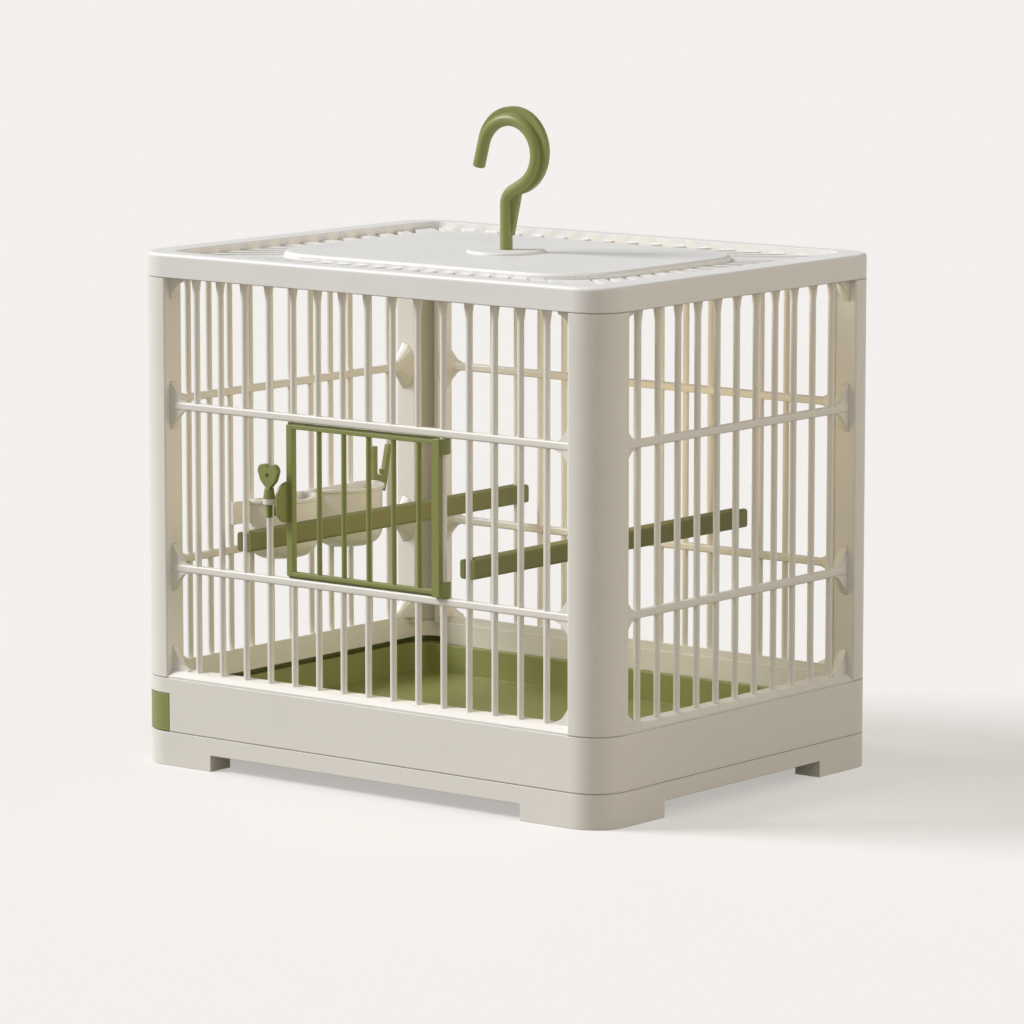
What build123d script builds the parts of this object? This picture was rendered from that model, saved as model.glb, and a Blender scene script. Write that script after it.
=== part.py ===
from build123d import *
import math
import os

# Moulded bird cage with a hanging hook, millimetres, +Z up. The origin is on the standing surface, in the
# middle of the cage's plan; the front, with the door, faces -Y, and the tray slides out towards -X.

# Body, over its outer faces. The hook stands above it.
body_width = 300.0
body_depth = 230.0
corner_radius = 18.4
wall = 2.5

# Heights of the stacked shells, from the ground up.
foot_height = 8.3
foot_frame_height = 9.2
skirt_height = 27.7
opening_height = 204.3
band_height = 12.5

# Clearances: fixed pieces that plug together, running fits, and pieces laid in a seat.
plug_clearance = 0.2
running_clearance = 0.1
seat_clearance = 0.3
seam_height = 0.25
seam_depth = 0.5

# Feet, L-shaped and hollow underneath.
foot_length = 50.0
foot_depth = 15.0
foot_roof = 2.5
ledge_width = 25.0
ledge_thickness = 2.0

# Inner wall and deck of the skirt, and the mouth for the tray's end plate.
skirt_hollow = 4.5
skirt_inner_wall = 2.0
deck_thickness = 2.2
mouth_height = 19.8
mouth_reach = 22.5

# Corner posts.
post_face = 21.3
flange_depth = 12.3
tab_depth = 4.0
tab_length = 7.0
post_edge_radius = 1.0

# Lattice panels.
bar_radius = 1.65
bar_pitch = 16.0
bar_setback = 5.7
bar_edge_gap = 8.0
rail_radius = 2.0
rail_round = 1.0
tenon_radius = 1.9
lower_rail_height = 56.4
upper_rail_height = 139.3
sill_height = 4.3
sill_depth = 8.5
sill_front_height = 1.0
sill_knee_depth = 3.2
sill_knee_height = 3.3
head_depth = 5.4
flare_radius = 2.5
flare_height = 7.0
tenon_tip = 0.5

# Corner brackets between the rails and the posts: flat outside, rounded inside like a quarter of a horn.
bracket_length = 12.5
bracket_height = 12.4
bracket_outer = 1.6
bracket_inner = 7.2
bracket_tip = 1.3
bracket_fall = 1.5
bracket_narrowing = 1.3
bracket_stations = (0, 0.14, 0.32, 0.58, 1)
bracket_angles = (90, 68, 46, 23, 0)
sill_bracket_length = 11.0
sill_bracket_height = 13.0
head_bracket_length = 9.0
head_bracket_height = 11.0

# Roof. Its vent ribs stand at one pitch along the plate and spread towards the lip.
front_lip = 10.0
side_lip = 15.5
lip_thickness = 2.6
rim_round = 2.0
collar_thickness = 1.5
vent_corner_radius = 9.0
vent_length = 31.5
vent_depth = 3.3
rib_pitch = 11.2
rib_spread = 1.4
rib_width = 6.5
rib_thickness = 2.4
front_ribs = 9
side_ribs = 6
plate_radius = 34.0
plate_drop = 0.4
plate_skin = 2.2
plate_edge = 2.5
plate_bevel = 1.2
boss_radius = 20.0
boss_rise = 1.0
boss_bevel = 0.7
hub_radius = 8.0
hub_length = 9.0

# Hook, bent from a round rod with a thin fin along its outer side.
hook_height = 72.18
hook_head_height = 49.58
hook_rod_radius = 3.2
hook_neck_radius = 2.9
hook_kick_radius = 8.0
hook_kick_angle = 60.0
hook_kick_length = 7.6
hook_bend_radius = 17.2
hook_bend_angle = 225.0
hook_tip_length = 12.4
hook_tip_round = 0.9
fin_front = 0.3
fin_thickness = 2.6
fin_radius = 22.3
fin_shift = 3.3
fin_start = 7.0
fin_from = -78.0
fin_to = 168.0
fin_fade = 1.5
retainer_radius = 6.0
retainer_thickness = 2.5
retainer_tail = 1.2

# Door: a framed grille that hangs on one bar of the front panel.
hinge_bar = 3
doorway_bars = 6
door_left_overlap = 3.6
door_right_inset = 1.8
door_stile = 3.7
door_hinge_stile = 4.2
door_frame_rail = 3.0
rail_step = 1.0
rail_step_depth = 1.3
door_thickness = 3.4
door_gap_above = 0.6
door_bar_radius = 1.35
door_bar_shift = 0.5
lap_depth = 2.7
lap_width = 4.0
lap_beyond = 0.7
clip_wall = 1.8
clip_length = 7.4
clip_mouth = 2.6
tab_thickness = 1.3
tab_inset = 0.4
tab_reach = 8.9
tab_height = 20.8
tab_flat = 6.0
tab_rise = 28.1
tongue_length = 5.2
tongue_thickness = 2.2
tongue_height = 4.8
tongue_rise = 31.4

# Turning latch pin with a heart on top.
latch_from_bar = 6.0
latch_stand_off = 7.4
pin_radius = 1.75
pin_bottom_rise = 30.7
half_moon_flat = 0.9
eyelet_rise = 39.4
eyelet_thickness = 2.9
eyelet_radius = 3.1
eyelet_arm = 5.4
neck_radius = 2.7
neck_flare = 0.4
neck_height = 5.0
heart_width = 12.8
heart_height = 12.4
heart_lobe = 3.3
heart_belly = 3.6
heart_belly_side = 1.6
heart_belly_rise = 6.0
heart_tip = 1.6
heart_thickness = 2.6
heart_dimple = 1.1
heart_dimple_rise = 6.8
heart_sink = 0.3

# Perches with forked ends.
perch_width = 9.5
perch_height = 9.6
perch_length = 224.0
perch_rise = 12.7
perch_round = 1.6
fork_slot = 3.7
fork_depth = 6.0
perch_left_bar = -5
perch_right_bar = 4

# Feeder cups, hooked over the lower rail of the left panel.
cup_radius = 21.5
cup_height = 31.7
cup_wall = 1.6
cup_bottom_round = 9.0
cup_rim_width = 1.2
cup_rim_height = 1.6
cup_rim_rise = 25.1
cup_places = {"feeder_cup_front": -14.6, "feeder_cup_back": 38.4}
cup_ears = {"feeder_cup_front": 14.0, "feeder_cup_back": 7.0}
cup_ear_height = 11.5
cup_hook_width = 6.0
cup_hook_wall = 1.6
cup_hook_drop = 4.5

# Food clip on a bar of the left panel.
food_clip_bar = 4
food_clip_rise = 23.4
food_clip_height = 19.2
food_clip_thickness = 2.8
food_clip_spine = 2.6
food_clip_ring_length = 4.0
food_clip_ring_wall = 0.8
food_clip_grip = 0.4
food_clip_ring_inset = 2.0
food_clip_floor = 2.4
food_clip_tooth = 4.0
food_clip_tooth_reach = 4.8
food_clip_arm_reach = 9.4
food_clip_arm = 2.4
food_clip_tail = 5.4

# Tray.
tray_wall = 1.8
tray_side_gap = 0.6
tray_end_gap = 1.5
tray_rim_rise = 16.5
tray_rim_width = 3.2
tray_rim_thickness = 1.6
tray_draft = 3.0
tray_corner_radius = 12.0
tray_plate_gap = 0.4

# Levels and places that follow from the values above.
half_width = body_width / 2
half_depth = body_depth / 2
base_top = foot_height + foot_frame_height
skirt_top = base_top + skirt_height
band_bottom = skirt_top + opening_height
roof_top = band_bottom + band_height
roof_underside = roof_top - lip_thickness
front_half_opening = half_width - post_face
side_half_opening = half_depth - post_face
lower_rail = skirt_top + lower_rail_height
upper_rail = skirt_top + upper_rail_height
front_bar_plane = bar_setback - half_depth
side_bar_plane = bar_setback - half_width
sill_top = skirt_top + sill_height


def plan(inset):
    """Outline of the body seen from above, moved inward by inset."""
    radius = max(corner_radius - inset, 1.0)
    return RectangleRounded(body_width - 2 * inset, body_depth - 2 * inset, radius)


def slab(sketch, bottom, top):
    """The sketch, raised from one height to another."""
    return Pos(0, 0, bottom) * extrude(sketch, amount=top - bottom)


def ring(outer_inset, inner_inset, bottom, top):
    """Wall that follows the body's outline between two insets."""
    return slab(plan(outer_inset) - plan(inner_inset), bottom, top)


def block(low, high):
    """Box between two opposite corners."""
    size = [high[i] - low[i] for i in range(3)]
    middle = [(high[i] + low[i]) / 2 for i in range(3)]
    return Pos(*middle) * Box(*size)


def upright(x, y, radius, bottom, top):
    """Round bar standing between two heights."""
    return Pos(x, y, (bottom + top) / 2) * Cylinder(radius, top - bottom)


def seam_groove(bottom, top):
    """Shallow groove round the outside, which leaves a fine line where two shells meet."""
    return ring(-1.0, seam_depth, bottom, top)


def pitch_places(reach):
    """Places one bar pitch apart, the same to each side of the middle, up to a reach."""
    last = math.floor(reach / bar_pitch)
    return [k * bar_pitch for k in range(-last, last + 1)]


def foot_frame():
    """Base ring with its ledge, and four L-shaped feet."""
    ledge_bottom = base_top - ledge_thickness
    body = ring(0, wall, foot_height, base_top)
    body += ring(0, ledge_width, ledge_bottom, base_top)
    corner = Pos(half_width, half_depth)
    foot_plan = corner * Rectangle(foot_length, foot_depth, align=(Align.MAX, Align.MAX))
    foot_plan += corner * Rectangle(foot_depth, foot_length, align=(Align.MAX, Align.MAX))
    foot_plan = foot_plan & plan(0)
    foot = slab(foot_plan, 0, ledge_bottom)
    foot -= slab(offset(foot_plan, -wall), 0, ledge_bottom - foot_roof)
    sides = [foot, mirror(foot, Plane.YZ)]
    feet = sides + [mirror(side, Plane.XZ) for side in sides]
    return body + feet - seam_groove(base_top - seam_height, base_top)


def tab_plan():
    """Plan of the two locating tabs of the post in the +X, +Y corner."""
    first = wall + plug_clearance
    along_front = Pos(front_half_opening, half_depth - first) * Rectangle(
        wall, tab_depth, align=(Align.MIN, Align.MAX)
    )
    along_side = Pos(half_width - first, side_half_opening) * Rectangle(
        tab_depth, wall, align=(Align.MAX, Align.MIN)
    )
    return along_front + along_side


def corner_post():
    """Post of the +X, +Y corner: rounded outer wall, return flanges, tabs, and holes for the rails."""
    quarter = Pos(front_half_opening, side_half_opening) * Rectangle(
        post_face, post_face, align=(Align.MIN, Align.MIN)
    )
    hollow = Pos(front_half_opening + wall, side_half_opening + wall) * Rectangle(
        post_face, post_face, align=(Align.MIN, Align.MIN)
    )
    inner = Pos(front_half_opening - 1, side_half_opening - 1) * Rectangle(
        post_face - flange_depth + 1, post_face - flange_depth + 1, align=(Align.MIN, Align.MIN)
    )
    channel = (quarter & plan(0)) - (hollow & plan(wall)) - inner
    body = slab(channel, skirt_top, band_bottom)
    free_edges = [
        edge
        for edge in body.edges().filter_by(Axis.Z)
        if abs(edge.center().X - front_half_opening) < 0.01 and edge.center().Y > half_depth - 0.01
        or abs(edge.center().Y - side_half_opening) < 0.01 and edge.center().X > half_width - 0.01
    ]
    body = fillet(free_edges, post_edge_radius)
    body += slab(tab_plan(), skirt_top - tab_length, band_bottom + tab_length)
    for height in (lower_rail, upper_rail):
        hole_radius = tenon_radius + plug_clearance
        along_x = Pos(front_half_opening, -front_bar_plane, height) * Rot(0, 90, 0)
        along_y = Pos(-side_bar_plane, side_half_opening, height) * Rot(90, 0, 0)
        body -= along_x * Cylinder(hole_radius, 4 * wall)
        body -= along_y * Cylinder(hole_radius, 4 * wall)
    body -= seam_groove(skirt_top, skirt_top + seam_height)
    return body - seam_groove(band_bottom - seam_height, band_bottom)


def base_skirt():
    """Double wall under a deck, open at its left end for the tray's end plate."""
    inner = wall + skirt_hollow
    body = ring(0, wall, base_top, skirt_top)
    body += ring(inner, inner + skirt_inner_wall, base_top, skirt_top)
    body += ring(0, inner + skirt_inner_wall, skirt_top - deck_thickness, skirt_top)
    body -= block(
        (-half_width - 1, -half_depth - 1, base_top - 1),
        (mouth_reach - half_width, half_depth + 1, base_top + mouth_height),
    )
    slot = slab(offset(tab_plan(), plug_clearance), skirt_top - deck_thickness - 1, skirt_top + 1)
    slots = [slot, mirror(slot, Plane.YZ)]
    body -= slots + [mirror(side, Plane.XZ) for side in slots]
    body -= seam_groove(base_top, base_top + seam_height)
    return body - seam_groove(skirt_top - seam_height, skirt_top)


def bracket(length, height):
    """Bracket in the angle between a post face, at x = 0, and a rail along +X, rounded towards +Y."""

    def section(share):
        """Cross-section at a share of the bracket's length: upright outside, a quarter of an oval inside."""
        crest = max(height * (1 - share) ** bracket_fall, bracket_tip)
        inner = max(bracket_inner * (1 - share) ** bracket_narrowing, bracket_tip)
        rounded = [
            (inner * math.cos(math.radians(angle)), crest * math.sin(math.radians(angle)))
            for angle in bracket_angles
        ]
        outline = Polyline([(-bracket_outer, 0), (-bracket_outer, crest)] + rounded, close=True)
        return (Plane.YZ.offset(share * length) * make_face(outline)).faces()[0]

    return loft([section(share) for share in bracket_stations], ruled=True)


def brackets(half_opening, bar_plane, head_bottom):
    """All the brackets of one panel."""
    on_rail = bracket(bracket_length, bracket_height)
    on_sill = bracket(sill_bracket_length, sill_bracket_height)
    under_head = mirror(bracket(head_bracket_length, head_bracket_height), Plane.XY)
    start = Pos(-half_opening, bar_plane, 0)
    left = [start * Pos(0, 0, sill_top - sill_front_height) * on_sill]
    left += [start * Pos(0, 0, head_bottom + seam_height / 2) * under_head]
    for height in (lower_rail, upper_rail):
        left += [start * Pos(0, 0, height) * on_rail]
        left += [start * Pos(0, 0, height) * mirror(on_rail, Plane.XY)]
    return left + [mirror(one, Plane.YZ) for one in left]


def lattice_panel(half_opening, half_span, doorway=()):
    """Panel that faces -Y: sill, head strip, rails, brackets and bars, some cut short at a doorway."""
    outer = -half_span
    bar_plane = outer + bar_setback
    head_bottom = band_bottom - seat_clearance
    head_top = roof_underside - seat_clearance
    sill = Plane.YZ * Polygon(
        (outer + seam_depth, skirt_top),
        (outer + seam_depth, skirt_top + sill_front_height),
        (outer + sill_knee_depth, skirt_top + sill_knee_height),
        (outer + sill_depth, sill_top),
        (outer + sill_depth, skirt_top),
        align=None,
    )
    pieces = [extrude(sill, amount=half_opening, both=True)]
    pieces += [
        block(
            (-half_opening, bar_plane - head_depth / 2, head_bottom),
            (half_opening, bar_plane + head_depth / 2, head_top),
        )
    ]
    rail_plan = RectangleRounded(2 * rail_radius, 2 * rail_radius, rail_round)
    tenon_length = 2 * (half_opening + wall + tenon_tip)
    for height in (lower_rail, upper_rail):
        place = Pos(0, bar_plane, height)
        pieces += [place * extrude(Plane.YZ * rail_plan, amount=half_opening, both=True)]
        pieces += [place * Rot(0, 90, 0) * Cylinder(tenon_radius, tenon_length)]
    foot = skirt_top + sill_front_height
    for x in pitch_places(half_opening - bar_edge_gap):
        if x in doorway:
            pieces += [upright(x, bar_plane, bar_radius, foot, lower_rail)]
            pieces += [upright(x, bar_plane, bar_radius, upper_rail, head_bottom + 1)]
        else:
            pieces += [upright(x, bar_plane, bar_radius, foot, head_bottom + 1)]
        flare = Cone(bar_radius, flare_radius, flare_height, align=(Align.CENTER, Align.CENTER, Align.MAX))
        pieces += [Pos(x, bar_plane, head_bottom + seam_height / 2) * flare]
    return pieces + brackets(half_opening, bar_plane, head_bottom)


# Places that the door, its hinge and its latch share.
hinge_x = hinge_bar * bar_pitch
doorway_x = [hinge_x - k * bar_pitch for k in range(1, doorway_bars + 1)]
latch_bar_x = hinge_x - (doorway_bars + 1) * bar_pitch
door_left = doorway_x[-1] - door_left_overlap
door_right = hinge_x - door_right_inset
door_bottom = lower_rail + rail_radius + seat_clearance
door_top = upper_rail - rail_radius - door_gap_above
door_front = front_bar_plane - door_thickness / 2
door_back = front_bar_plane + door_thickness / 2
latch_x = latch_bar_x + latch_from_bar
latch_y = front_bar_plane - latch_stand_off


def front_panel():
    """Front lattice with the doorway, and the eyelet for the latch pin on the bar beside it."""
    pieces = lattice_panel(front_half_opening, half_depth, doorway_x)
    bottom = lower_rail + eyelet_rise
    reach = math.hypot(latch_from_bar, latch_stand_off)
    angle = math.degrees(math.atan2(-latch_stand_off, latch_from_bar))
    arm = Rectangle(reach, eyelet_arm, align=(Align.MIN, Align.CENTER))
    eyelet = Pos(latch_bar_x, front_bar_plane) * Rot(0, 0, angle) * arm
    eyelet += Pos(latch_x, latch_y) * Circle(eyelet_radius)
    eyelet = slab(eyelet, bottom, bottom + eyelet_thickness)
    top = bottom + eyelet_thickness
    hole = upright(latch_x, latch_y, pin_radius + running_clearance, bottom - 1, top + 1)
    return (Part() + (pieces + [eyelet])) - hole


def vent_plan(outward):
    """Outline of the roof's opening, moved outward."""
    width = body_width - 2 * (side_lip - outward)
    depth = body_depth - 2 * (front_lip - outward)
    return RectangleRounded(width, depth, vent_corner_radius + outward)


def plate_plan(inset):
    """Outline of the raised plate inside the vent ring, moved inward."""
    width = body_width - 2 * (side_lip + vent_length + inset)
    depth = body_depth - 2 * (front_lip + vent_length + inset)
    return RectangleRounded(width, depth, plate_radius - inset)


def roof_ribs():
    """Ribs of the vent ring, at one pitch along the plate and leaning outward more towards the corners."""
    plate_x = half_width - side_lip - vent_length
    plate_y = half_depth - front_lip - vent_length
    strip = Rectangle(half_width, rib_width)
    ribs = []
    for k in range(-side_ribs, side_ribs + 1):
        lean = math.degrees(math.atan2(k * rib_pitch * (rib_spread - 1), vent_length))
        rib = Pos(plate_x, k * rib_pitch) * Rot(0, 0, lean) * strip
        ribs += [rib, mirror(rib, Plane.YZ)]
    for k in range(-front_ribs, front_ribs + 1):
        lean = math.degrees(math.atan2(k * rib_pitch * (rib_spread - 1), vent_length))
        rib = Pos(k * rib_pitch, plate_y) * Rot(0, 0, 90 - lean) * strip
        ribs += [rib, mirror(rib, Plane.XZ)]
    return (Sketch() + ribs) & (vent_plan(collar_thickness / 2) - plate_plan(plate_edge / 2))


def roof():
    """Rim with its lip, ring of ribs, raised plate, and the boss and hub that carry the hook."""
    rib_top = roof_top - vent_depth
    rib_bottom = rib_top - rib_thickness
    plate_top = roof_top - plate_drop
    body = slab(plan(0), band_bottom, roof_top)
    body = fillet(body.faces().sort_by(Axis.Z)[-1].edges(), rim_round)
    body -= slab(plan(wall), band_bottom - 1, roof_underside)
    body -= slab(vent_plan(0), band_bottom, roof_top + 1)
    body += slab(vent_plan(collar_thickness) - vent_plan(0), rib_bottom, roof_top)
    plate = slab(plate_plan(0), rib_bottom, plate_top)
    plate = chamfer(plate.faces().sort_by(Axis.Z)[-1].edges(), plate_bevel)
    plate -= slab(plate_plan(plate_edge), rib_bottom - 1, plate_top - plate_skin)
    boss = upright(0, 0, boss_radius, plate_top - 1, roof_top + boss_rise)
    boss = chamfer(boss.faces().sort_by(Axis.Z)[-1].edges(), boss_bevel)
    hub = upright(0, 0, hub_radius, hub_bottom, plate_top - 1)
    bore = upright(0, 0, hook_neck_radius + running_clearance, hub_bottom - 1, roof_top + boss_rise + 1)
    body = body + [slab(roof_ribs(), rib_bottom, rib_top), plate, boss, hub]
    return body - bore - seam_groove(band_bottom, band_bottom + seam_height)


# Places that the roof and the hook share.
hub_bottom = roof_top - plate_drop - plate_skin - hub_length
hook_foot = roof_top + boss_rise + running_clearance


def hook():
    """Rod bent in the X-Z plane with its mouth towards -X, a fin on its outer side, and a thin neck below."""
    kick = math.radians(hook_kick_angle)
    hook_top = hook_foot + hook_height
    stem_top = (0, hook_top - hook_head_height)
    kick_middle = (
        hook_kick_radius * (1 - math.cos(kick / 2)),
        stem_top[1] + hook_kick_radius * math.sin(kick / 2),
    )
    kick_end = (
        hook_kick_radius * (1 - math.cos(kick)),
        stem_top[1] + hook_kick_radius * math.sin(kick),
    )
    bend_start = (
        kick_end[0] + hook_kick_length * math.sin(kick),
        kick_end[1] + hook_kick_length * math.cos(kick),
    )
    centre = (
        bend_start[0] - hook_bend_radius * math.cos(kick),
        bend_start[1] + hook_bend_radius * math.sin(kick),
    )

    def round_bend(degrees):
        """Point on the main bend, counted from where it starts."""
        angle = math.radians(degrees) - kick
        return (
            centre[0] + hook_bend_radius * math.cos(angle),
            centre[1] + hook_bend_radius * math.sin(angle),
        )

    bend_end = round_bend(hook_bend_angle)
    heading = math.radians(hook_bend_angle + 90) - kick
    tip = (
        bend_end[0] + hook_tip_length * math.cos(heading),
        bend_end[1] + hook_tip_length * math.sin(heading),
    )
    path = Line((0, hook_foot), stem_top) + ThreePointArc(stem_top, kick_middle, kick_end)
    path += Line(kick_end, bend_start)
    path += ThreePointArc(bend_start, round_bend(hook_bend_angle / 2), bend_end)
    path += Line(bend_end, tip)
    rod = sweep(Pos(0, 0, hook_foot) * Circle(hook_rod_radius), path=Plane.XZ * path)
    rod = fillet(rod.faces().filter_by(GeomType.PLANE).sort_by(Axis.X)[0].edges(), hook_tip_round)
    neck = upright(0, 0, hook_neck_radius, hub_bottom - retainer_thickness - retainer_tail, hook_foot + 1)

    def round_fin(degrees):
        """Point on the fin's round outer edge, whose top is the top of the whole cage."""
        angle = math.radians(degrees)
        fin_middle = hook_top - fin_radius
        return (fin_shift + fin_radius * math.cos(angle), fin_middle + fin_radius * math.sin(angle))

    fin_low = (hook_rod_radius, hook_foot + fin_start)
    fin_end = (bend_end[0] + fin_fade * math.cos(heading), bend_end[1] + fin_fade * math.sin(heading))
    outline = Line((0, fin_low[1]), fin_low) + Line(fin_low, round_fin(fin_from))
    outline += ThreePointArc(round_fin(fin_from), round_fin(90), round_fin(fin_to))
    outline += Line(round_fin(fin_to), fin_end) + Line(fin_end, bend_end)
    outline += ThreePointArc(bend_end, round_bend(hook_bend_angle / 2), bend_start)
    outline += Line(bend_start, kick_end) + Line(kick_end, stem_top) + Line(stem_top, (0, fin_low[1]))
    fin = extrude(Plane.XZ.offset(-fin_front) * make_face(outline), amount=-fin_thickness)
    return rod + [neck, fin]


def hook_retainer():
    """Push-on ring on the hook's neck, under the roof's hub."""
    top = hub_bottom - running_clearance
    body = upright(0, 0, retainer_radius, top - retainer_thickness, top)
    hole_radius = hook_neck_radius + running_clearance / 2
    return body - upright(0, 0, hole_radius, top - retainer_thickness - 1, top + 1)


def door():
    """Framed grille with clips round the hinge bar, a D-shaped pull tab, and a tongue for the latch."""
    body = block((door_left, door_front, door_bottom), (door_right, door_back, door_top))
    body -= block(
        (door_left + door_stile, door_front - 1, door_bottom + door_frame_rail),
        (door_right - door_hinge_stile, door_back + 1, door_top - door_frame_rail),
    )
    for low in (door_bottom - 1, door_top - rail_step):
        body -= block(
            (door_left - 1, door_front - 1, low),
            (door_right + 1, door_front + rail_step_depth, low + 1 + rail_step),
        )
    pieces = []
    for x in doorway_x[:-1]:
        bar_x = x + door_bar_shift
        pieces += [upright(bar_x, front_bar_plane, door_bar_radius, door_bottom + 1, door_top - 1)]
    lap_back = front_bar_plane - bar_radius - running_clearance
    lap_corner = (hinge_x - lap_width, lap_back - lap_depth, door_bottom)
    pieces += [block(lap_corner, (hinge_x + lap_beyond, lap_back, door_top))]
    pieces += [block(lap_corner, (door_right, front_bar_plane, door_top))]
    clip_radius = bar_radius + running_clearance + clip_wall
    for bottom in (door_bottom, door_top - clip_length):
        pieces += [upright(hinge_x, front_bar_plane, clip_radius, bottom, bottom + clip_length)]
    tab_bottom = lower_rail + tab_rise + rail_radius
    tab_top = tab_bottom + tab_height
    tab_turn = (tab_height - tab_flat) / 2
    outer = door_front - tab_reach
    tab = EllipticalCenterArc((door_front, tab_bottom + tab_turn), tab_reach, tab_turn, 180)
    tab += Line((outer, tab_bottom + tab_turn), (outer, tab_top - tab_turn))
    tab += EllipticalCenterArc((door_front, tab_top - tab_turn), tab_reach, tab_turn, 90)
    tab += Polyline(
        (door_front, tab_top), (door_back, tab_top), (door_back, tab_bottom), (door_front, tab_bottom)
    )
    tab = extrude(Plane.YZ * make_face(tab), amount=tab_thickness, dir=(1, 0, 0))
    pieces += [Pos(door_left + tab_inset, 0, 0) * tab]
    tongue_front = latch_y + pin_radius + seat_clearance + running_clearance
    tongue_bottom = lower_rail + tongue_rise + rail_radius
    pieces += [
        block(
            (door_left - tongue_length, tongue_front, tongue_bottom),
            (door_left + 1, tongue_front + tongue_thickness, tongue_bottom + tongue_height),
        )
    ]
    body = body + pieces
    for bottom in (door_bottom, door_top - clip_length):
        top = bottom + clip_length
        body -= upright(hinge_x, front_bar_plane, bar_radius + running_clearance, bottom - 1, top + 1)
        body -= block(
            (hinge_x - clip_mouth / 2, front_bar_plane, bottom - 1),
            (hinge_x + clip_mouth / 2, front_bar_plane + 2 * clip_radius, top + 1),
        )
    return body


def latch_pin():
    """Pin with a half-moon lower end, a flared neck and a heart to turn it by."""
    bottom = lower_rail + pin_bottom_rise + rail_radius
    eyelet_bottom = lower_rail + eyelet_rise
    neck_bottom = eyelet_bottom + eyelet_thickness + running_clearance
    neck_top = neck_bottom + neck_height
    body = upright(latch_x, latch_y, pin_radius, bottom, neck_bottom + 1)
    body -= block(
        (latch_x + half_moon_flat, latch_y - 2 * pin_radius, bottom - 1),
        (latch_x + 2 * pin_radius, latch_y + 2 * pin_radius, eyelet_bottom - running_clearance),
    )
    flare = Pos(latch_x, latch_y, neck_bottom + neck_height / 2)
    neck = flare * Cone(neck_radius + neck_flare, neck_radius - neck_flare, neck_height)
    lobe = Pos(heart_width / 2 - heart_lobe, heart_height - heart_lobe) * Circle(heart_lobe)
    belly = Pos(heart_belly_side, heart_belly_rise) * Circle(heart_belly)
    tip = Pos(0, heart_tip) * Circle(heart_tip)
    drop = make_hull(lobe.edges() + belly.edges() + tip.edges())
    heart = drop + mirror(drop, Plane.YZ)
    heart_bottom = neck_top - heart_sink
    place = Pos(latch_x, latch_y, heart_bottom)
    top = place * extrude(Plane.XZ * heart, amount=heart_thickness / 2, both=True)
    dimple = place * Pos(0, -heart_thickness / 2, heart_dimple_rise)
    top -= dimple * Rot(90, 0, 0) * Cylinder(heart_dimple, heart_thickness / 2)
    return body + [neck, top]


def perch(bar_number):
    """Square rod with rounded upper edges whose forked ends grip a bar of the front and of the back panel."""
    x = bar_number * bar_pitch
    bottom = lower_rail + perch_rise
    back_slot = half_depth - bar_setback - bar_radius - running_clearance
    shift = back_slot + fork_depth - perch_length / 2
    body = Pos(x, shift, bottom + perch_height / 2) * Box(perch_width, perch_length, perch_height)
    body = fillet(body.edges().filter_by(Axis.Y), perch_round)
    for end in (-1, 1):
        outer = shift + end * perch_length / 2
        inner = outer - end * fork_depth
        slot_low = (x - fork_slot / 2, min(outer, inner) - (1 if end < 0 else 0), bottom - 1)
        slot_high = (x + fork_slot / 2, max(outer, inner) + (1 if end > 0 else 0), bottom + perch_height + 1)
        body -= block(slot_low, slot_high)
    return body


def feeder_cup(middle, ear_length):
    """D-shaped cup against the left panel, with hooks over the rail in each gap that its back covers."""
    back = side_bar_plane + rail_radius + seat_clearance
    rim = lower_rail + cup_rim_rise
    bottom = rim - cup_height

    def half_disc(radius):
        """Plan of the cup: half a disc with its flat side against the panel."""
        strip = Pos(back, middle) * Rectangle(radius, 2 * radius, align=(Align.MIN, Align.CENTER))
        return (Pos(back, middle) * Circle(radius)) & strip

    body = slab(half_disc(cup_radius), bottom, rim)
    body = fillet(body.faces().sort_by(Axis.Z)[0].edges(), cup_bottom_round)
    body += slab(half_disc(cup_radius + cup_rim_width), rim - cup_rim_height, rim)
    hollow_plan = Pos(cup_wall, 0) * half_disc(cup_radius - cup_wall)
    hollow_plan = hollow_plan & half_disc(cup_radius - cup_wall)
    hollow = slab(hollow_plan, bottom + cup_wall, rim + 1)
    hollow = fillet(hollow.faces().sort_by(Axis.Z)[0].edges(), cup_bottom_round - cup_wall)
    ear_end = middle - cup_radius - ear_length
    ear = block((back, ear_end, rim - cup_ear_height), (back + cup_wall, middle - cup_radius + 2, rim))
    rail_top = lower_rail + rail_radius + running_clearance
    outer = side_bar_plane - rail_radius - seat_clearance
    hooks = []
    for bar in pitch_places(side_half_opening - bar_edge_gap):
        gap = bar + bar_pitch / 2
        if abs(gap - middle) <= cup_radius - cup_hook_width / 2:
            low = gap - cup_hook_width / 2
            high = gap + cup_hook_width / 2
            top = rail_top + cup_hook_wall
            hooks += [block((outer - cup_hook_wall, low, rail_top), (back + cup_wall, high, top))]
            hooks += [block((outer - cup_hook_wall, low, rail_top - cup_hook_drop), (outer, high, top))]
    return body - hollow + ([ear] + hooks)


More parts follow.
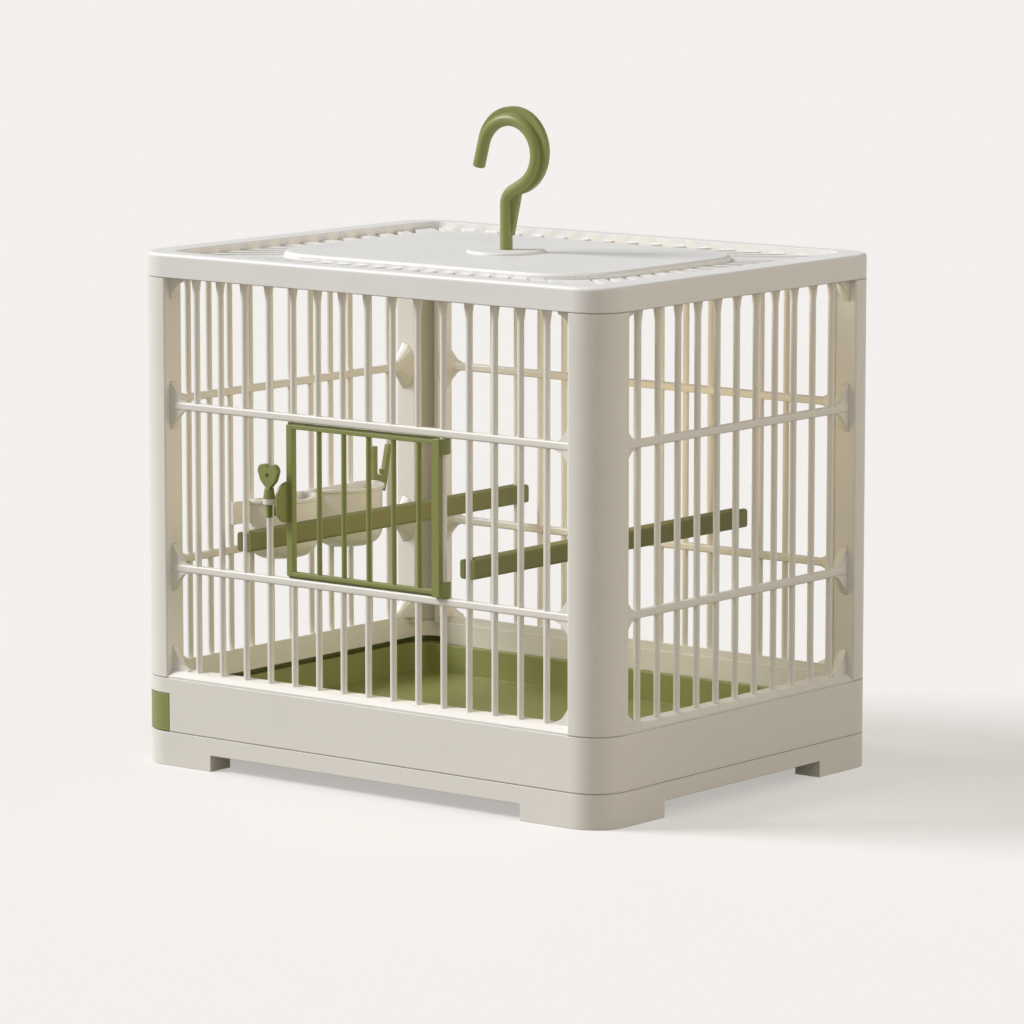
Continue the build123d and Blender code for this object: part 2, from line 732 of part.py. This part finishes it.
def food_clip():
    """Springy V with a toothed arm, on a spine that snaps round one bar of the left panel."""
    bar_y = food_clip_bar * bar_pitch
    bottom = lower_rail + food_clip_rise
    top = bottom + food_clip_height
    near = side_bar_plane + bar_radius + running_clearance
    left = bar_y - food_clip_spine / 2
    right = bar_y + food_clip_spine / 2
    floor = bottom + food_clip_floor
    tooth = right + food_clip_tooth_reach
    arm = right + food_clip_arm_reach
    outline = Polygon(
        (left, top),
        (right, top),
        (right, floor + food_clip_floor),
        (right + food_clip_floor, floor),
        (tooth, floor + 1),
        (tooth - 0.5, floor + food_clip_tooth),
        (tooth + 1.5, floor + food_clip_tooth),
        (arm, top),
        (arm + food_clip_arm, top),
        (tooth + food_clip_arm + 1, bottom + 1),
        (tooth + 1.5, bottom - food_clip_tail),
        (tooth, bottom - 2),
        (left + 1.6, bottom),
        (left, bottom + 1.6),
        align=None,
    )
    body = Pos(near, 0, 0) * extrude(Plane.YZ * outline, amount=food_clip_thickness, dir=(1, 0, 0))
    ring_radius = bar_radius + running_clearance + food_clip_ring_wall
    last_ring = top - food_clip_ring_inset - food_clip_ring_length
    for ring_bottom in (bottom + food_clip_ring_inset, last_ring):
        ring_top = ring_bottom + food_clip_ring_length
        body += upright(side_bar_plane, bar_y, ring_radius, ring_bottom, ring_top)
        body -= block(
            (side_bar_plane - 2 * ring_radius, bar_y - 2 * ring_radius, ring_bottom),
            (side_bar_plane - food_clip_grip, bar_y + 2 * ring_radius, ring_top),
        )
    return body - upright(side_bar_plane, bar_y, bar_radius + running_clearance, bottom - 1, top + 1)


def tray():
    """Tray with sloping sides and a beaded rim, carried by an end plate that wraps the left corners."""
    skirt_inset = wall + skirt_hollow + skirt_inner_wall
    bottom = base_top + running_clearance
    rim = base_top + tray_rim_rise
    half_rim = half_depth - skirt_inset - tray_side_gap
    left = -half_width + wall
    right = half_width - skirt_inset - tray_end_gap
    middle = (left + right) / 2
    length = right - left
    body_plan = Pos(middle, 0) * RectangleRounded(length, 2 * half_rim, tray_corner_radius)

    def bowl(inset, low, high):
        """Tapered block inside the rim's outline, narrower at its bottom."""
        upper_inset = tray_rim_width + inset
        lower_inset = upper_inset + tray_draft
        upper = Pos(middle, 0, high) * RectangleRounded(
            length - 2 * upper_inset, 2 * (half_rim - upper_inset), tray_corner_radius - tray_rim_width
        )
        lower = Pos(middle, 0, low) * RectangleRounded(
            length - 2 * lower_inset, 2 * (half_rim - lower_inset), tray_corner_radius - tray_rim_width
        )
        return loft([lower.faces()[0], upper.faces()[0]])

    plate_end = -half_width + mouth_reach - tray_plate_gap
    end_zone = Pos(-half_width, 0) * Rectangle(
        plate_end + half_width, body_depth + 2, align=(Align.MIN, Align.CENTER)
    )
    end_plate = (plan(0) - plan(wall)) & end_zone
    end_web = plan(wall / 2) & end_zone
    plate_top = base_top + mouth_height - seat_clearance
    body = bowl(0, bottom, rim)
    body += slab(body_plan, rim - tray_rim_thickness, rim)
    body += slab(end_web, rim - tray_rim_thickness, rim)
    body -= bowl(tray_wall, bottom + tray_wall, rim + 0.01)
    return body + slab(end_plate, base_top + seat_clearance, plate_top)


parts = {
    "foot_frame": foot_frame(),
    "base_skirt": base_skirt(),
    "front_panel": front_panel(),
    "back_panel": Rot(0, 0, 180) * (Part() + lattice_panel(front_half_opening, half_depth)),
    "left_panel": Rot(0, 0, -90) * (Part() + lattice_panel(side_half_opening, half_width)),
    "right_panel": Rot(0, 0, 90) * (Part() + lattice_panel(side_half_opening, half_width)),
    "roof": roof(),
    "hook": hook(),
    "hook_retainer": hook_retainer(),
    "door": door(),
    "latch_pin": latch_pin(),
    "tray": tray(),
    "perch_left": perch(perch_left_bar),
    "perch_right": perch(perch_right_bar),
    "food_clip": food_clip(),
}
post = corner_post()
parts["corner_post_back_right"] = post
parts["corner_post_back_left"] = mirror(post, Plane.YZ)
parts["corner_post_front_right"] = mirror(post, Plane.XZ)
parts["corner_post_front_left"] = mirror(mirror(post, Plane.YZ), Plane.XZ)
for name, middle in cup_places.items():
    parts[name] = feeder_cup(middle, cup_ears[name])

os.makedirs("parts", exist_ok=True)
for name, shape in parts.items():
    export_step(shape, f"parts/{name}.step")
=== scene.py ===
import math

import bmesh
import bpy
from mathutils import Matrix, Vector

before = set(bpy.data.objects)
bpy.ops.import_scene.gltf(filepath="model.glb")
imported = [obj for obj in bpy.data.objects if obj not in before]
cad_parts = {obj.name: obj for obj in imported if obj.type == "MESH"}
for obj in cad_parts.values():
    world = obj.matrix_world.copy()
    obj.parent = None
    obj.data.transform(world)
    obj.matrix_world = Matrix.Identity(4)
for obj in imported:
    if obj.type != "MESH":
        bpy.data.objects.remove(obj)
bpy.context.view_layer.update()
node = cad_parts


# Base ring with its four L-shaped feet: one injection moulding in cream polypropylene, hollow underneath.
# Its outside has the fine satin texture of the mould, and the skirt above snaps down onto it.
cream = (0.800, 0.775, 0.722)
satin_roughness = 0.46
gloss_spread = 0.05
flow_mottle = 0.03
flow_scale = 28.0
flow_detail = 3.0
grain_size = 0.00045
grain_depth = 0.000035
grain_strength = 0.35
grain_detail = 2.0
edge_radius = 0.0006
edge_samples = 6


def moulded(name, colour, roughness, grain=1.0):
    """Moulded plastic: a fine grain, faint flow mottling, slightly uneven gloss, and softened edges."""
    plastic = bpy.data.materials.new(name)
    plastic.use_nodes = True
    tree = plastic.node_tree
    shader = tree.nodes["Principled BSDF"]
    place = tree.nodes.new("ShaderNodeTexCoord")

    flow = tree.nodes.new("ShaderNodeTexNoise")
    flow.inputs["Scale"].default_value = flow_scale
    flow.inputs["Detail"].default_value = flow_detail
    tree.links.new(place.outputs["Object"], flow.inputs["Vector"])
    tint = tree.nodes.new("ShaderNodeMix")
    tint.data_type = "RGBA"
    tint.inputs["A"].default_value = [part * (1 - flow_mottle) for part in colour] + [1]
    tint.inputs["B"].default_value = [part * (1 + flow_mottle) for part in colour] + [1]
    tree.links.new(flow.outputs["Fac"], tint.inputs["Factor"])
    tree.links.new(tint.outputs["Result"], shader.inputs["Base Color"])

    gloss = tree.nodes.new("ShaderNodeMapRange")
    gloss.inputs["To Min"].default_value = roughness - gloss_spread
    gloss.inputs["To Max"].default_value = roughness + gloss_spread
    tree.links.new(flow.outputs["Fac"], gloss.inputs["Value"])
    tree.links.new(gloss.outputs["Result"], shader.inputs["Roughness"])

    pores = tree.nodes.new("ShaderNodeTexNoise")
    pores.inputs["Scale"].default_value = 1 / grain_size
    pores.inputs["Detail"].default_value = grain_detail
    tree.links.new(place.outputs["Object"], pores.inputs["Vector"])
    relief = tree.nodes.new("ShaderNodeBump")
    relief.inputs["Strength"].default_value = grain_strength * grain
    relief.inputs["Distance"].default_value = grain_depth
    soft_edge = tree.nodes.new("ShaderNodeBevel")
    soft_edge.samples = edge_samples
    soft_edge.inputs["Radius"].default_value = edge_radius
    tree.links.new(soft_edge.outputs["Normal"], relief.inputs["Normal"])
    tree.links.new(pores.outputs["Fac"], relief.inputs["Height"])
    tree.links.new(relief.outputs["Normal"], shader.inputs["Normal"])
    return plastic


def dress(names, plastic):
    """Gives CAD nodes their plastic."""
    for name in names:
        node[name].data.materials.clear()
        node[name].data.materials.append(plastic)


dress(["foot_frame", "base_skirt"], moulded("base_cream", cream, satin_roughness))


# The four corner posts: moulded cream polypropylene channels, open inwards, with rounded outer corners.
# Their ends plug into the skirt and the roof, and their flanges hold the tenons of the panels' rails.
corner_posts = ["corner_post_" + end + side for end in ("front_", "back_") for side in ("left", "right")]
dress(corner_posts, moulded("post_cream", cream, satin_roughness))


# The four lattice panels, each one moulding of bars, rails, sill and corner brackets in cream polypropylene.
# They are smoother than the shells, because bars this thin are moulded in a polished tool.
polished_roughness = 0.42
polished_grain = 0.5
lattice_panels = ["front_panel", "back_panel", "left_panel", "right_panel"]
dress(lattice_panels, moulded("lattice_cream", cream, polished_roughness, polished_grain))


# Roof: rim, vent ribs, raised plate and boss in one cream moulding with the satin texture of the base.
# Its rim snaps down over the four posts, and the hook turns in the boss.
roof_cream = (0.822, 0.808, 0.782)
dress(["roof"], moulded("roof_cream", roof_cream, satin_roughness))


# Hanging hook, moulded in olive green plastic with a stiffening fin behind its bend.
# A cream ring pushed on to its stem from below keeps it in the roof.
olive = (0.245, 0.265, 0.078)
olive_grain = 0.6
dress(["hook"], moulded("hook_olive", olive, polished_roughness, olive_grain))
dress(["hook_retainer"], moulded("retainer_cream", cream, satin_roughness))


# Door and latch pin, two mouldings in the same green as the hook.
# The door clips round a bar of the front panel, and the pin turns in the eyelet beside it.
dress(["door", "latch_pin"], moulded("door_olive", olive, polished_roughness, olive_grain))


# Slide-out tray of the same green with a slightly coarser grain.
# It runs on the ledges inside the base, and its end plate closes the opening at the left.
tray_grain = 0.8
dress(["tray"], moulded("tray_olive", olive, polished_roughness, tray_grain))


# The two perches, square rods in a darker and duller olive plastic that gives the feet a hold.
# Their forked ends are pushed over bars of the front and back panels.
perch_olive = (0.175, 0.178, 0.055)
perch_roughness = 0.5
perch_grain = 0.8
dress(["perch_left", "perch_right"], moulded("perch_olive", perch_olive, perch_roughness, perch_grain))


# The two feeder cups are thin, smooth and almost white, and hang by their hooks on the left panel's rail.
# The V-shaped food clip is green like the door, and snaps on one bar above the back cup.
cup_cream = (0.82, 0.80, 0.75)
cup_roughness = 0.3
cup_grain = 0.3
dress(["feeder_cup_front", "feeder_cup_back"], moulded("cup_cream", cup_cream, cup_roughness, cup_grain))
dress(["food_clip"], moulded("clip_olive", olive, polished_roughness, olive_grain))


# Pale paper floor that reaches past the edge of the picture, as in a studio. The camera and the gloss of
# the plastics see it pale, and the light that it throws back on the cage is that of a darker, warmer one.
floor_reach = 20.0
bounce_colour = (0.32, 0.28, 0.21, 1)
shadowed_colour = (0.45, 0.44, 0.43, 1)
own_paleness = (0.44, 0.428, 0.41, 1)
paper_roughness = 0.9
floor_mesh = bmesh.new()
bmesh.ops.create_grid(floor_mesh, x_segments=1, y_segments=1, size=floor_reach)
floor_data = bpy.data.meshes.new("floor")
floor_mesh.to_mesh(floor_data)
floor_mesh.free()
floor = bpy.data.objects.new("floor", floor_data)
bpy.context.scene.collection.objects.link(floor)
paper = bpy.data.materials.new("paper_floor")
paper.use_nodes = True
paper_nodes = paper.node_tree.nodes
paper_links = paper.node_tree.links
paper_shader = paper_nodes["Principled BSDF"]
paper_shader.inputs["Roughness"].default_value = paper_roughness
paper_shader.inputs["Specular IOR Level"].default_value = 0.0
ray = paper_nodes.new("ShaderNodeLightPath")
seen = paper_nodes.new("ShaderNodeMath")
seen.operation = "MAXIMUM"
paper_links.new(ray.outputs["Is Camera Ray"], seen.inputs[0])
paper_links.new(ray.outputs["Is Glossy Ray"], seen.inputs[1])
paper_colour = paper_nodes.new("ShaderNodeMix")
paper_colour.data_type = "RGBA"
paper_colour.inputs["A"].default_value = bounce_colour
paper_colour.inputs["B"].default_value = shadowed_colour
paper_shader.inputs["Emission Color"].default_value = own_paleness
paper_links.new(seen.outputs[0], paper_shader.inputs["Emission Strength"])
paper_links.new(seen.outputs[0], paper_colour.inputs["Factor"])
paper_links.new(paper_colour.outputs["Result"], paper_shader.inputs["Base Color"])
floor.data.materials.append(paper)


# Soft cool key from the upper left, two weak warm fills from the right, and an even white room. A small
# warm lamp inside the cabin adds to the light that the pale walls throw on each other.
key_from = (-0.665, -0.415, 0.621)
key_strength = 3.12
key_colour = (0.985, 1.0, 1.03)
key_softness = 24
warm_colour = (1.0, 0.90, 0.74)
fill_from = (0.85, 0.45, 0.25)
fill_strength = 0.87
fill_softness = 60
front_fill_from = (0.60, -0.72, 0.35)
front_fill_strength = 0.27
front_fill_softness = 50
glow_watts = 0.27
glow_colour = (1.0, 0.82, 0.55)
glow_size = 0.06
glow_place = (0.03, 0.0, 0.16)
room_strength = 0.30


def lamp(name, towards_light, strength, colour, softness):
    """Sun lamp whose light comes from a direction, with soft-edged shadows."""
    sun = bpy.data.lights.new(name, "SUN")
    sun.energy = strength
    sun.color = colour
    sun.angle = math.radians(softness)
    holder = bpy.data.objects.new(name, sun)
    holder.rotation_euler = Vector(towards_light).to_track_quat("Z", "Y").to_euler()
    bpy.context.scene.collection.objects.link(holder)


lamp("key", key_from, key_strength, key_colour, key_softness)
lamp("fill", fill_from, fill_strength, warm_colour, fill_softness)
lamp("front_fill", front_fill_from, front_fill_strength, warm_colour, front_fill_softness)
warm_light = bpy.data.lights.new("cabin_glow", "POINT")
warm_light.energy = glow_watts
warm_light.color = glow_colour
warm_light.shadow_soft_size = glow_size
cabin_glow = bpy.data.objects.new("cabin_glow", warm_light)
cabin_glow.location = glow_place
cabin_glow.visible_camera = False
cabin_glow.visible_glossy = False
bpy.context.scene.collection.objects.link(cabin_glow)
room = bpy.data.worlds.new("room")
room.use_nodes = True
sky = room.node_tree.nodes["Background"]
sky.inputs["Color"].default_value = (1.0, 1.0, 1.0, 1)
sky.inputs["Strength"].default_value = room_strength
bpy.context.scene.world = room


# Camera at the photograph's angle, to the right of the front and a little above. Its focal length in
# pixels, its distance and what it looks at were fitted to the corners of the body in the photograph.
camera_turn = math.radians(38.499)
camera_rise = math.radians(8.299)
camera_distance = 2.82708
film_width = 36.0
focal_pixels = 5562.5
picture_pixels = 1024
look_at = Vector((0.002235, 0.001786, 0.129002))
away = Vector((
    math.sin(camera_turn) * math.cos(camera_rise),
    -math.cos(camera_turn) * math.cos(camera_rise),
    math.sin(camera_rise),
))
camera_data = bpy.data.cameras.new("camera")
camera_data.sensor_width = film_width
camera_data.lens = film_width * focal_pixels / picture_pixels
camera = bpy.data.objects.new("camera", camera_data)
camera.location = look_at + camera_distance * away
camera.rotation_euler = away.to_track_quat("Z", "Y").to_euler()
bpy.context.scene.collection.objects.link(camera)
bpy.context.scene.camera = camera
bpy.context.scene.view_settings.view_transform = "Standard"
